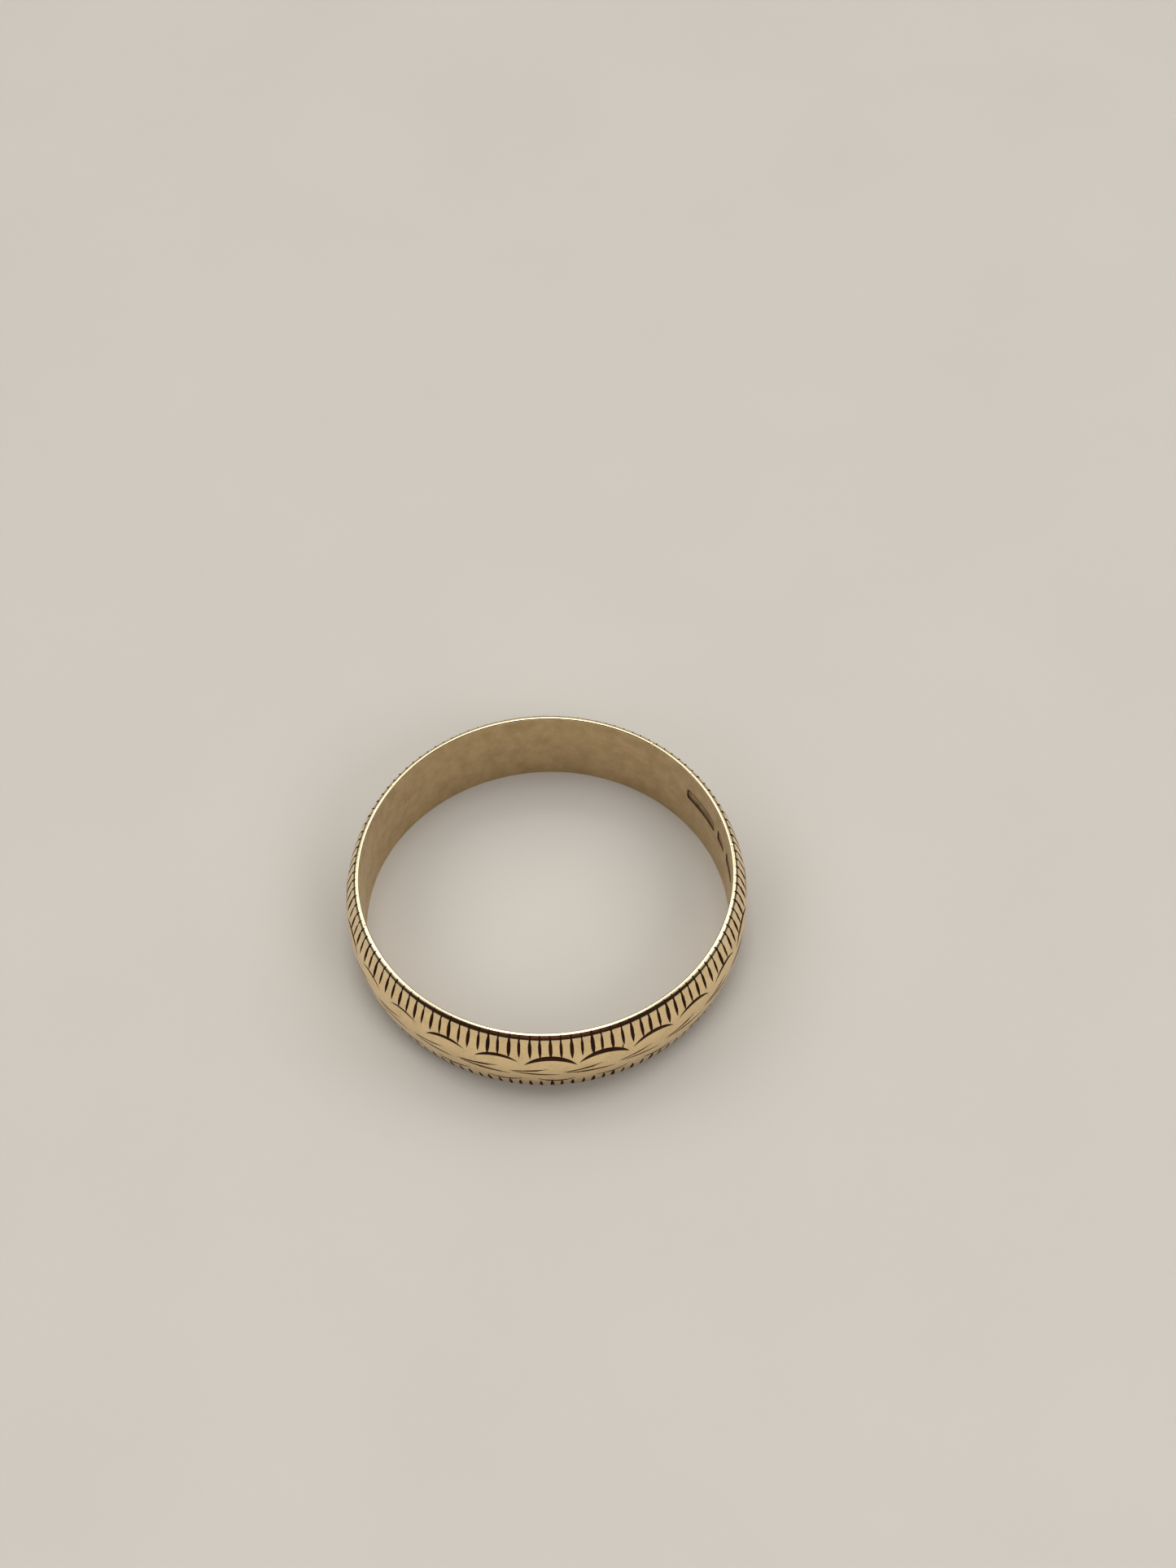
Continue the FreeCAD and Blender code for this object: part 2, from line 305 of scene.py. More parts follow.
@dataclass(frozen=True)
class ToolPath:
    """The arc along which a cutting edge is swept, in straight stretches."""

    centre: Vector
    axis: Vector
    angle: float
    steps: int
    overrun: ClassVar[float] = 1.1
    stroke_steps: ClassVar[int] = 6
    crescent_steps: ClassVar[int] = 36

    @classmethod
    def rocked(cls, depth: float, half_length: float, surface_radius: float) -> "ToolPath":
        """The path of a stroke that rocks into a rounded surface and runs out past its ends.

        Args:
            depth: how deep its middle goes.
            half_length: how far from its middle it leaves the surface.
            surface_radius: radius of the surface along the stroke.

        Returns:
            The path.
        """
        radius = 1 / (2 * depth / half_length ** 2 - 1 / surface_radius)
        return cls(Vector((0, radius, 0)), Vector((1, 0, 0)),
                   2 * cls.overrun * math.asin(half_length / radius), cls.stroke_steps)

    @classmethod
    def curved(cls, radius: float, reach_degrees: float) -> "ToolPath":
        """The path of a crescent, which curves to both sides of its top.

        Args:
            radius: distance of the V's tip from the tool's own axis.
            reach_degrees: how far the path goes to each side.

        Returns:
            The path.
        """
        return cls(Vector((-radius, 0, 0)), Vector((0, 1, 0)),
                   2 * math.radians(reach_degrees), cls.crescent_steps)


@dataclass(frozen=True)
class Vee:
    """A V-shaped cutting edge, as deep as it goes in and with flanks that lean apart."""

    depth: float
    flank_degrees: float
    clearance: ClassVar[float] = 0.05

    def pressed(self, share: float) -> "Vee":
        """The same edge, driven in by this share of its depth."""
        return Vee(self.depth * share, self.flank_degrees)

    def add_sweep(self, mesh: BMesh, path: ToolPath, place: Matrix, zone: Zone) -> None:
        """Add one cut's tool: the V swept along an arc.

        Args:
            mesh: the mesh that gets the tool.
            path: the arc that the V's tip follows.
            place: its frame at the middle of the arc: X across the V, Y out of the band.
            zone: the zone that the cut belongs to.
        """
        first_new = len(mesh.verts)
        height = self.depth + self.clearance
        half = height * math.tan(math.radians(self.flank_degrees))
        corners = ((0, 0, 0), (half, height, 0), (-half, height, 0))
        section = mesh.faces.new([mesh.verts.new(corner) for corner in corners])
        bmesh.ops.rotate(mesh, verts=section.verts, cent=path.centre,
                         matrix=Matrix.Rotation(-path.angle / 2, 3, path.axis))
        bmesh.ops.spin(mesh, geom=[section], cent=path.centre, axis=path.axis,
                       angle=path.angle, steps=path.steps)
        mesh.verts.ensure_lookup_table()
        newer = mesh.verts[first_new:]
        for vert in newer:
            for face in vert.link_faces:
                face.material_index = zone
        bmesh.ops.transform(mesh, verts=newer, matrix=place)


def stroke_place(spot: Spot, azimuth: float, depth: float, slope: float) -> Matrix:
    """Where a stroke's tool goes into the band.

    Args:
        spot: the stroke's middle in the cross-section.
        azimuth: degrees from the front, counter-clockwise seen from above.
        depth: how deep the tool goes in.
        slope: degrees from the round of the band; 90 is straight across the band.

    Returns:
        The tool's frame: X across the stroke, Y outwards and Z along it.
    """
    outwards = Vector((0, -math.cos(spot.lean), math.sin(spot.lean)))
    upwards = Vector((0, math.sin(spot.lean), math.cos(spot.lean)))
    along = (Vector((1, 0, 0)) * math.cos(math.radians(slope))
             + upwards * math.sin(math.radians(slope)))
    deepest = Vector((0, -spot.point.x, spot.point.y)) - outwards * depth
    return turned_frame(outwards.cross(along), outwards, along, deepest, azimuth)


@dataclass(frozen=True)
class Hand:
    """How cuts made by hand differ from each other, to both sides of an even layout."""

    seed: int
    turn_degrees: float = 0.0
    height: float = 0.0
    slope_degrees: float = 0.0
    depth_share: float = 0.0

    def start(self) -> random.Random:
        """The run of chance that a row of cuts draws on."""
        return random.Random(self.seed)


def either_way(chance: random.Random, size: float) -> float:
    """A chance difference of up to this size to either side."""
    return chance.uniform(-size, size)


class Stretch(IntEnum):
    """The part of an upright cut that a tool makes."""

    LIP = 0
    DOME = 1
    SHOULDER = 2


@dataclass(frozen=True)
class CutKind:
    """One kind of upright cut: its groove, its bright lips, and its end over the shoulder."""

    half_length: float
    groove: Vee
    lip: Vee
    shoulder: Vee
    shoulder_half_length: float = 0.21


@dataclass(frozen=True)
class UprightCut:
    """One upright cut as the hand makes it, with its slope from the round of the band."""

    kind: CutKind
    side: Side
    depth_share: float
    azimuth: float
    height: float
    slope: float

    def add_tool(self, mesh: BMesh, section: Section, stretch: Stretch) -> None:
        """Add the tool of one part of the cut.

        Args:
            mesh: the mesh that gets the tool.
            section: the band's cross-section.
            stretch: the part of the cut.
        """
        kind = self.kind
        zone = Zone.CUT
        if stretch is Stretch.SHOULDER:
            vee = kind.shoulder
            spot = section.shoulder_spot(self.side)
            path = ToolPath.rocked(vee.depth, kind.shoulder_half_length,
                                   section.shoulder_radius)
        else:
            vee = kind.groove
            spot = section.dome_spot(self.height)
            path = ToolPath.rocked(vee.depth, kind.half_length, section.dome_radius)
        if stretch is Stretch.LIP:
            vee = kind.lip
            zone = Zone.LIP
        vee = vee.pressed(self.depth_share)
        place = stroke_place(spot, self.azimuth, vee.depth, self.slope)
        vee.add_sweep(mesh, path, place, zone)


@dataclass(frozen=True)
class EdgeCuts:
    """The rows of long and short upright cuts along both edges of the dome."""

    pair_count: int = 61
    inset: float = 0.71
    heavy_share: float = 0.05
    kinds: tuple[CutKind, CutKind] = (
        CutKind(0.70, Vee(0.094, 47), Vee(0.049, 66), Vee(0.062, 47)),
        CutKind(0.66, Vee(0.076, 47), Vee(0.040, 66), Vee(0.054, 47)),
    )
    hand: Hand = Hand(seed=11, turn_degrees=0.14, height=0.025, slope_degrees=1.5,
                      depth_share=0.10)

    def cuts(self, section: Section) -> Iterator[UprightCut]:
        """Every cut of both rows, a little heavier on the band's +X side.

        Args:
            section: the band's cross-section.

        Yields:
            The cuts, long and short in turn.
        """
        chance = self.hand.start()
        for side in Side:
            for number in range(2 * self.pair_count):
                even = 180 / self.pair_count * number
                depth_share = (1 + self.heavy_share * math.sin(math.radians(even))
                               + either_way(chance, self.hand.depth_share))
                azimuth = even + either_way(chance, self.hand.turn_degrees)
                height = (side * (section.half_width - self.inset)
                          + either_way(chance, self.hand.height))
                slope = 90 + either_way(chance, self.hand.slope_degrees)
                yield UprightCut(self.kinds[number % 2], side, depth_share, azimuth,
                                 height, slope)

    def add_tools(self, mesh: BMesh, section: Section, stretch: Stretch) -> None:
        """Add the tools of one part of every cut.

        Args:
            mesh: the mesh that gets the tools.
            section: the band's cross-section.
            stretch: the part of each cut that they make.
        """
        for cut in self.cuts(section):
            cut.add_tool(mesh, section, stretch)


@dataclass(frozen=True)
class Scallops:
    """One row of crescents, each cut by a tilted round tool.

    The presses are the shares of its depth that a scallop, by its number, is driven in by.
    The others differ by hand.
    """

    side: Side
    lead_degrees: float
    hand: Hand
    presses: tuple[tuple[int, float], ...] = ()
    count: int = 24
    top_height: float = 1.08
    tool_radius: float = 1.65
    tilt_degrees: float = 11.2
    vee: Vee = Vee(0.088, 58)
    reach_degrees: float = 60.0

    def add_tools(self, mesh: BMesh, section: Section) -> None:
        """Add the tools of the row.

        Args:
            mesh: the mesh that gets the tools.
            section: the band's cross-section.
        """
        tilt = math.radians(self.tilt_degrees)
        outwards = Vector((0, -math.cos(tilt), self.side * math.sin(tilt)))
        to_top = Vector((0, math.sin(tilt), self.side * math.cos(tilt)))
        surface = section.dome_centre + math.sqrt(
            section.dome_radius ** 2 - self.top_height ** 2)
        path = ToolPath.curved(self.tool_radius, self.reach_degrees)
        known = dict(self.presses)
        chance = self.hand.start()
        for number in range(self.count):
            by_hand = 1 + either_way(chance, self.hand.depth_share)
            vee = self.vee.pressed(known.get(number, by_hand))
            top = Vector((0, vee.depth - surface, self.side * self.top_height))
            twist = Matrix.Rotation(
                math.radians(either_way(chance, self.hand.slope_degrees)), 3, "Y")
            azimuth = (360 / self.count * number + self.lead_degrees
                       + either_way(chance, self.hand.turn_degrees))
            place = turned_frame(twist @ to_top, twist @ outwards,
                                 twist @ to_top.cross(outwards), top, azimuth)
            vee.add_sweep(mesh, path, place, Zone.CUT)


@dataclass(frozen=True)
class Straws:
    """One row of shallow strokes that run along the middle of the band."""

    height: float
    slope_degrees: float
    lead_degrees: float
    vee: Vee
    half_length: float
    hand: Hand
    count: int = 24

    def add_tools(self, mesh: BMesh, section: Section) -> None:
        """Add the tools of the row.

        Args:
            mesh: the mesh that gets the tools.
            section: the band's cross-section.
        """
        path = ToolPath.rocked(self.vee.depth, self.half_length, section.crown_radius)
        chance = self.hand.start()
        for number in range(self.count):
            vee = self.vee.pressed(1 + either_way(chance, self.hand.depth_share))
            azimuth = (360 / self.count * number + self.lead_degrees
                       + either_way(chance, self.hand.turn_degrees))
            spot = section.dome_spot(self.height + either_way(chance, self.hand.height))
            slope = self.slope_degrees + either_way(chance, self.hand.slope_degrees)
            vee.add_sweep(mesh, path, stroke_place(spot, azimuth, vee.depth, slope), Zone.STRAW)


@dataclass(frozen=True)
class Stamp:
    """One blank stamp in the bore: a sunk field with rounded corners and a dark border."""

    length: float
    azimuth: float
    height: float = 0.80
    offset: float = 0.55
    end_border: float = 0.07
    side_border: float = 0.15
    border_depth: float = 0.035
    field_depth: float = 0.050
    clearance: float = 0.1
    corner_radius: float = 0.2
    corner_steps: int = 4
    steps: int = 10

    def add_tool(self, mesh: BMesh, section: Section, zone: Zone) -> None:
        """Add one of the stamp's two tools.

        Args:
            mesh: the mesh that gets the tool.
            section: the band's cross-section.
            zone: STRAW for the whole stamp with its border, STAMP for the field inside it.
        """
        older = set(mesh.faces)
        end_margin, side_margin, depth = (
            (self.end_border, self.side_border, self.field_depth) if zone is Zone.STAMP
            else (0, 0, self.border_depth))
        angle = (self.length - 2 * end_margin) / section.bore_radius
        inner = section.bore_radius - self.clearance
        outer = section.bore_radius + depth
        low = self.offset - self.height / 2 + side_margin
        high = self.offset + self.height / 2 - side_margin
        corners = ((inner, 0, low), (outer, 0, low), (outer, 0, high), (inner, 0, high))
        start = mesh.faces.new([mesh.verts.new(corner) for corner in corners])
        bmesh.ops.rotate(mesh, verts=start.verts, cent=(0, 0, 0),
                         matrix=Matrix.Rotation(math.radians(self.azimuth) - angle / 2, 3, "Z"))
        swept = bmesh.ops.spin(mesh, geom=[start], cent=(0, 0, 0), axis=(0, 0, 1),
                               angle=angle, steps=self.steps)["geom_last"]
        ends = [start] + [part for part in swept if isinstance(part, BMFace)]
        level = [edge for end in ends for edge in end.edges
                 if abs(edge.verts[0].co.z - edge.verts[1].co.z) < self.clearance / 2]
        bmesh.ops.bevel(mesh, geom=level, offset=self.corner_radius - end_margin,
                        segments=self.corner_steps, profile=0.5, affect="EDGES", material=-1)
        floor_margin = self.border_depth / 5
        for face in set(mesh.faces) - older:
            on_floor = face.calc_center_median().xy.length > outer - floor_margin
            face.material_index = zone if on_floor else Zone.STRAW


@dataclass(frozen=True)
class Wear:
    """Small knocks across the land of the upper edge, and one slip of the graver."""

    azimuths: tuple[float, ...] = (143.0, 126.4, 234.8, 246.1, 287.8, 96.5)
    vee: Vee = Vee(0.022, 60)
    half_length: float = 0.11
    slip_azimuth: float = 20.3
    slip_height: float = 0.95
    slip_slope: float = 84.0
    slip_vee: Vee = Vee(0.034, 50)
    slip_half_length: float = 0.24
    hand: Hand = Hand(seed=3, slope_degrees=35, depth_share=0.4)

    def add_tools(self, mesh: BMesh, section: Section) -> None:
        """Add the tools of the knocks and the slip.

        Args:
            mesh: the mesh that gets the tools.
            section: the band's cross-section.
        """
        chance = self.hand.start()
        spot = Spot(section.land_end - Vector((section.land_width / 2, 0)), math.pi / 2)
        path = ToolPath.rocked(self.vee.depth, self.half_length, section.bore_radius)
        for azimuth in self.azimuths:
            vee = self.vee.pressed(1 + either_way(chance, self.hand.depth_share))
            slope = 90 + either_way(chance, self.hand.slope_degrees)
            vee.add_sweep(mesh, path, stroke_place(spot, azimuth, vee.depth, slope), Zone.RIM)
        path = ToolPath.rocked(self.slip_vee.depth, self.slip_half_length, section.dome_radius)
        place = stroke_place(section.dome_spot(self.slip_height), self.slip_azimuth,
                             self.slip_vee.depth, self.slip_slope)
        self.slip_vee.add_sweep(mesh, path, place, Zone.CUT)


class EngravedBand:
    """The whole ring: turned, carved, and dressed in its finishes."""

    merge_distance = 0.0003
    crease_degrees = 20
    carved_zones = (Zone.LIP, Zone.CUT, Zone.STRAW, Zone.STAMP)

    def __init__(self, section: Section, finishes: dict[Zone, Material]) -> None:
        """Start the ring from its section.

        Args:
            section: the band's cross-section.
            finishes: the material of every zone.
        """
        self.section = section
        self.finishes = [finishes[zone] for zone in Zone]
        self.edge_cuts = EdgeCuts()
        self.scallops = (
            Scallops(Side.UPPER, lead_degrees=-0.3,
                     hand=Hand(seed=5, turn_degrees=0.3, slope_degrees=3, depth_share=0.15),
                     presses=((0, 1.25), (1, 1.2), (2, 0.95), (3, 0.8), (4, 0.7),
                              (23, 0.85), (22, 0.8), (21, 0.5), (20, 0.5))),
            Scallops(Side.LOWER, lead_degrees=1.6, top_height=1.02, vee=Vee(0.050, 58),
                     hand=Hand(seed=6, turn_degrees=0.3, slope_degrees=3, depth_share=0.15)),
        )
        straw_hand = Hand(seed=7, turn_degrees=0.3, height=0.03, slope_degrees=2,
                          depth_share=0.2)
        self.straws = (
            Straws(height=0.075, slope_degrees=12, lead_degrees=-5.6, vee=Vee(0.036, 60),
                   half_length=1.0, hand=straw_hand),
            Straws(height=-0.23, slope_degrees=-3, lead_degrees=-4.0, vee=Vee(0.044, 60),
                   half_length=1.25, hand=straw_hand),
            Straws(height=0.02, slope_degrees=6, lead_degrees=-7.2, vee=Vee(0.030, 60),
                   half_length=0.85, hand=straw_hand),
        )
        self.stamps = (Stamp(length=2.55, azimuth=29.2), Stamp(length=0.92, azimuth=15.8),
                       Stamp(length=1.45, azimuth=5.4))
        self.wear = Wear()
        self.piece = bpy.data.objects.new("engraved_band", bpy.data.meshes.new("engraved_band"))
        bpy.context.scene.collection.objects.link(self.piece)

    def build(self) -> Object:
        """Turn and carve the ring.

        Returns:
            The finished piece, in metres.
        """
        mesh = bmesh.new()
        self.section.turn(mesh)
        mesh.to_mesh(self.piece.data)
        mesh.free()
        self.dress(self.piece.data)
        for stretch in Stretch:
            self.carve("edge cuts", partial(self.edge_cuts.add_tools, stretch=stretch))
        for row in self.scallops:
            self.carve("scallops", row.add_tools)
        for row in self.straws:
            self.carve("fine strokes", row.add_tools)
        for zone in (Zone.STRAW, Zone.STAMP):
            self.carve("stamps", *(partial(stamp.add_tool, zone=zone)
                                   for stamp in self.stamps))
        self.carve("wear", self.wear.add_tools)
        self.finish_mesh()
        return self.piece

    def carve(self, name: str, *makers: Callable[[BMesh, Section], None]) -> None:
        """Take a set of tools off the ring.

        Args:
            name: what is carved.
            *makers: functions that add the tools to a mesh, given the cross-section.
        """
        tools = bmesh.new()
        for add_tools in makers:
            add_tools(tools, self.section)
        bmesh.ops.recalc_face_normals(tools, faces=tools.faces)
        cutter = bpy.data.objects.new("cutter", bpy.data.meshes.new("cutter"))
        tools.to_mesh(cutter.data)
        tools.free()
        self.dress(cutter.data)
        bpy.context.scene.collection.objects.link(cutter)
        carving = self.piece.modifiers.new("carving", "BOOLEAN")
        carving.operation = "DIFFERENCE"
        carving.solver = "MANIFOLD"
        carving.material_mode = "INDEX"
        carving.object = cutter
        depsgraph = bpy.context.evaluated_depsgraph_get()
        carved = bpy.data.meshes.new_from_object(self.piece.evaluated_get(depsgraph))
        self.piece.modifiers.clear()
        plain = self.piece.data
        self.piece.data = carved
        for used in (plain, cutter.data):
            bpy.data.meshes.remove(used)
        LOG.info("carved %s: %d faces", name, len(carved.polygons))

    def finish_mesh(self) -> None:
        """Clean the carved mesh, set its creases and true normals and bring it to metres."""
        mesh = bmesh.new()
        mesh.from_mesh(self.piece.data)
        bmesh.ops.remove_doubles(mesh, verts=mesh.verts, dist=self.merge_distance)
        bmesh.ops.triangulate(mesh, faces=mesh.faces, ngon_method="EAR_CLIP")
        for face in mesh.faces:
            face.smooth = True
        crease = math.radians(self.crease_degrees)
        for edge in mesh.edges:
            zones = {face.material_index for face in edge.link_faces}
            if zones.intersection(self.carved_zones):
                edge.smooth = len(zones) == 1 and edge.calc_face_angle(0) < crease
        mesh.to_mesh(self.piece.data)
        mesh.free()
        data = self.piece.data
        normals = [Vector()] * len(data.loops)
        for face in data.polygons:
            zone = Zone(face.material_index)
            for loop in face.loop_indices:
                point = data.vertices[data.loops[loop].vertex_index].co
                normals[loop] = self.section.normal(point, zone)
        data.normals_split_custom_set(normals)
        data.transform(Matrix.Scale(METRES, 4))

    def dress(self, data: Mesh) -> None:
        """Give each zone of a mesh its finish.

        Args:
            data: the mesh, whose faces already have their zones.
        """
        for finish in self.finishes:
            data.materials.append(finish)


class NodeBoard:
    """Places and joins the nodes of one material or node group."""

    spacing = 200

    def __init__(self, tree: NodeTree) -> None:
        """Start from an empty tree.

        Args:
            tree: the tree that gets the nodes.
        """
        self.tree = tree
        tree.nodes.clear()

    def add(self, kind: str, **values: Setting) -> Node:
        """Add a node.

        Args:
            kind: the node's type.
            **values: its properties, and its inputs as values or sockets under their names.

        Returns:
            The node.
        """
        column = len(self.tree.nodes)
        node = self.tree.nodes.new(kind)
        node.location = (self.spacing * column, 0)
        inputs = {}
        for name, value in values.items():
            if hasattr(node, name):
                setattr(node, name, value)
            else:
                inputs[name] = value
        for name, value in inputs.items():
            self.plug(node, name.replace("_", " "), value)
        return node

    def plug(self, node: Node, name: str, value: Setting) -> None:
        """Join a socket to an input, or set the input's value.

        Args:
            node: the node.
            name: the input's name, with its number after a # where names repeat.
            value: a socket or a plain value.
        """
        label, _, number = name.partition("#")
        sockets = [socket for socket in node.inputs
                   if socket.name.lower() == label.lower() and socket.enabled]
        socket = sockets[int(number or 0)]
        if isinstance(value, NodeSocket):
            self.tree.links.new(value, socket)
        else:
            socket.default_value = value

    def maths(self, operation: str, first: Setting, second: Setting) -> NodeSocket:
        """The result of a calculation with two values or sockets.

        Args:
            operation: the Math node's operation.
            first: the first value.
            second: the second value.

        Returns:
            The socket with the result.
        """
        node = self.add("ShaderNodeMath", operation=operation)
        self.plug(node, "Value#0", first)
        self.plug(node, "Value#1", second)
        return node.outputs[0]

    def stretched(self, place: Setting, factors: Place) -> NodeSocket:
        """Coordinates multiplied by a factor along each axis.

        Args:
            place: the socket with the coordinates.
            factors: the factors.

        Returns:
            The socket with the result.
        """
        node = self.add("ShaderNodeVectorMath", operation="MULTIPLY")
        self.plug(node, "Vector#0", place)
        self.plug(node, "Vector#1", factors)
        return node.outputs[0]

    def blend(self, amount: Setting, first: Setting, second: Setting) -> NodeSocket:
        """Two colours mixed.

        Args:
            amount: how much of the second one, as a value or socket.
            first: the first colour.
            second: the second colour.

        Returns:
            The socket with the mixed colour.
        """
        node = self.add("ShaderNodeMix", data_type="RGBA")
        self.plug(node, "Factor", amount)
        self.plug(node, "A", first)
        self.plug(node, "B", second)
        return node.outputs["Result"]

    def span(self, value: Setting, low: float, high: float, least: float = 0.0) -> NodeSocket:
        """A mask that rises with a value and stays level outside a range.

        Args:
            value: the socket with the value.
            low: where the range starts.
            high: where it ends, and the mask reaches 1.
            least: the mask up to its start.

        Returns:
            The socket with the mask.
        """
        node = self.add("ShaderNodeMapRange", Value=value, From_Min=low, From_Max=high,
                        To_Min=least, To_Max=1.0)
        return node.outputs[0]


@dataclass(frozen=True)
class Noise:
    """A noise pattern, and the range of its values over which its mask rises."""

    scale: Setting
    detail: float
    roughness: float = 0.5
    low: float = 0.0
    high: float = 1.0

    def values(self, board: NodeBoard, place: Setting) -> NodeSocket:
        """The pattern's own values at the coordinates of a socket."""
        return board.add("ShaderNodeTexNoise", Vector=place, Scale=self.scale,
                         Detail=self.detail, Roughness=self.roughness).outputs[0]

    def mask(self, board: NodeBoard, place: Setting) -> NodeSocket:
        """The pattern's mask at the coordinates of a socket."""
        return board.span(self.values(board, place), self.low, self.high)


class SharedEffects:
    """The node groups that the gold finishes share. Their coordinates are in millimetres."""

    hairline_axis = (0.35, 0.9, 0.25)
    hairline_turns = (0.4, 1.75, -0.3)
    hairline_stretches = ((0.05, 0.5, 1.0), (0.08, 0.5, 1.0), (0.06, 0.5, 1.0))
    hairline_patches = Noise(scale=0.9, detail=2.0, low=0.35, high=0.65)
    clouds = Noise(scale=1.3, detail=4.0, roughness=0.62, low=0.38, high=0.68)
    specks = Noise(scale=9.0, detail=3.0, roughness=0.7, low=0.66, high=0.74)

    def __init__(self) -> None:
        """Make every group once."""
        self.scratches = self.make_scratches()
        self.tarnish = self.make_tarnish()

    @staticmethod
    def new_group(name: str, inputs: dict[str, str],
                  outputs: dict[str, str]) -> tuple[NodeBoard, Node, Node]:
        """Start a node group.

        Args:
            name: its name.
            inputs: input names with the kind of their socket.
            outputs: output names with the kind of their socket.

        Returns:
            A board for the group's nodes, its input node and its output node.
        """
        group = bpy.data.node_groups.new(name, "ShaderNodeTree")
        for way, sockets in (("INPUT", inputs), ("OUTPUT", outputs)):
            for label, kind in sockets.items():
                group.interface.new_socket(label, in_out=way, socket_type="NodeSocket" + kind)
        board = NodeBoard(group)
        return board, board.add("NodeGroupInput"), board.add("NodeGroupOutput")

    def make_scratches(self) -> NodeTree:
        """Fine straight hairlines in three directions, broken up in patches.

        Returns:
            The group.
        """
        board, given, result = self.new_group(
            "fine_scratches", {"Position": "Vector", "Fineness": "Float", "Amount": "Float"},
            {"Height": "Float", "Mask": "Float"})
        position = given.outputs["Position"]
        hairline = Noise(given.outputs["Fineness"], detail=2.0, roughness=0.6, low=0.60,
                         high=0.72)
        lines = []
        for turn, stretch in zip(self.hairline_turns, self.hairline_stretches):
            turned = board.add("ShaderNodeVectorRotate", rotation_type="AXIS_ANGLE",
                               Vector=position, Axis=self.hairline_axis, Angle=turn)
            lines.append(hairline.mask(board, board.stretched(turned.outputs[0], stretch)))
        drawn = board.maths("MAXIMUM", board.maths("MAXIMUM", lines[0], lines[1]), lines[2])
        broken = board.maths("MULTIPLY", drawn, self.hairline_patches.mask(board, position))
        mask = board.maths("MULTIPLY", broken, given.outputs["Amount"])
        board.plug(result, "Height", board.maths("SUBTRACT", 0.0, mask))
        board.plug(result, "Mask", mask)
        return board.tree

    def make_tarnish(self) -> NodeTree:
        """Soft warm clouds and small dark specks over a metal's colour.

        Returns:
            The group.
        """
        board, given, result = self.new_group(
            "gold_tarnish",
            {"Position": "Vector", "Metal": "Color", "Tarnish": "Color", "Clouds": "Float",
             "Specks": "Float"},
            {"Color": "Color", "Mask": "Float"})
        position = given.outputs["Position"]
        clouds = board.maths("MULTIPLY", self.clouds.mask(board, position),
                             given.outputs["Clouds"])
        specks = board.maths("MULTIPLY", self.specks.mask(board, position),
                             given.outputs["Specks"])
        mask = board.maths("MAXIMUM", clouds, specks)
        board.plug(result, "Color", board.blend(mask, given.outputs["Metal"],
                                                given.outputs["Tarnish"]))
        board.plug(result, "Mask", mask)
        return board.tree


@dataclass(frozen=True)
class GoldFinish:
    """How one zone of the gold looks."""

    name: str
    metal: Colour
    tarnish: Colour
    roughness: float
    metallic: float = 1.0
    shine: float = 0.5
    clouds: float = 0.2
    specks: float = 0.3
    scratches: float = 0.5
    scratch_fineness: float = 14.0
    scratch_depth: float = 0.0008
    grain: float = 0.0
    grain_depth: float = 0.0006
    grain_noise: Noise = Noise(scale=1.6, detail=5.0, roughness=0.65)
    grain_stretch: Place = (0.5, 0.5, 14.0)
    tarnish_dulling: float = 0.22
    scratch_dulling: float = 0.18
    grain_dulling: float = 0.2

    def material(self, effects: SharedEffects) -> Material:
        """Make the finish's material.

        Args:
            effects: the shared node groups.

        Returns:
            The material.
        """
        made = bpy.data.materials.new(self.name)
        made.use_nodes = True
        board = NodeBoard(made.node_tree)
        place = board.add("ShaderNodeTexCoord")
        scaled = board.add("ShaderNodeMapping", Vector=place.outputs["Object"],
                           Scale=(1 / METRES,) * 3)
        position = scaled.outputs[0]
        tarnish = board.add("ShaderNodeGroup", node_tree=effects.tarnish, Position=position,
                            Metal=(*self.metal, 1), Tarnish=(*self.tarnish, 1),
                            Clouds=self.clouds, Specks=self.specks)
        scratches = board.add("ShaderNodeGroup", node_tree=effects.scratches,
                              Position=position, Fineness=self.scratch_fineness,
                              Amount=self.scratches)
        grain = board.maths("MULTIPLY", self.grain_noise.values(
            board, board.stretched(position, self.grain_stretch)), self.grain)
        rough = board.maths(
            "ADD", board.maths("MULTIPLY", tarnish.outputs["Mask"], self.tarnish_dulling),
            board.maths("MULTIPLY", scratches.outputs["Mask"], self.scratch_dulling))
        rough = board.maths("ADD", rough, board.maths("MULTIPLY", grain, self.grain_dulling))
        rough = board.maths("ADD", rough, self.roughness)
        height = board.maths("ADD", board.maths("MULTIPLY", scratches.outputs["Height"],
                                                self.scratch_depth * METRES),
                             board.maths("MULTIPLY", grain, self.grain_depth * METRES))
        bump = board.add("ShaderNodeBump", Strength=1.0, Distance=1.0, Height=height)
        shader = board.add("ShaderNodeBsdfPrincipled", Base_Color=tarnish.outputs["Color"],
                           Metallic=self.metallic, Roughness=rough,
                           Specular_IOR_Level=self.shine, Normal=bump.outputs[0])
        board.add("ShaderNodeOutputMaterial", Surface=shader.outputs[0])
        return made


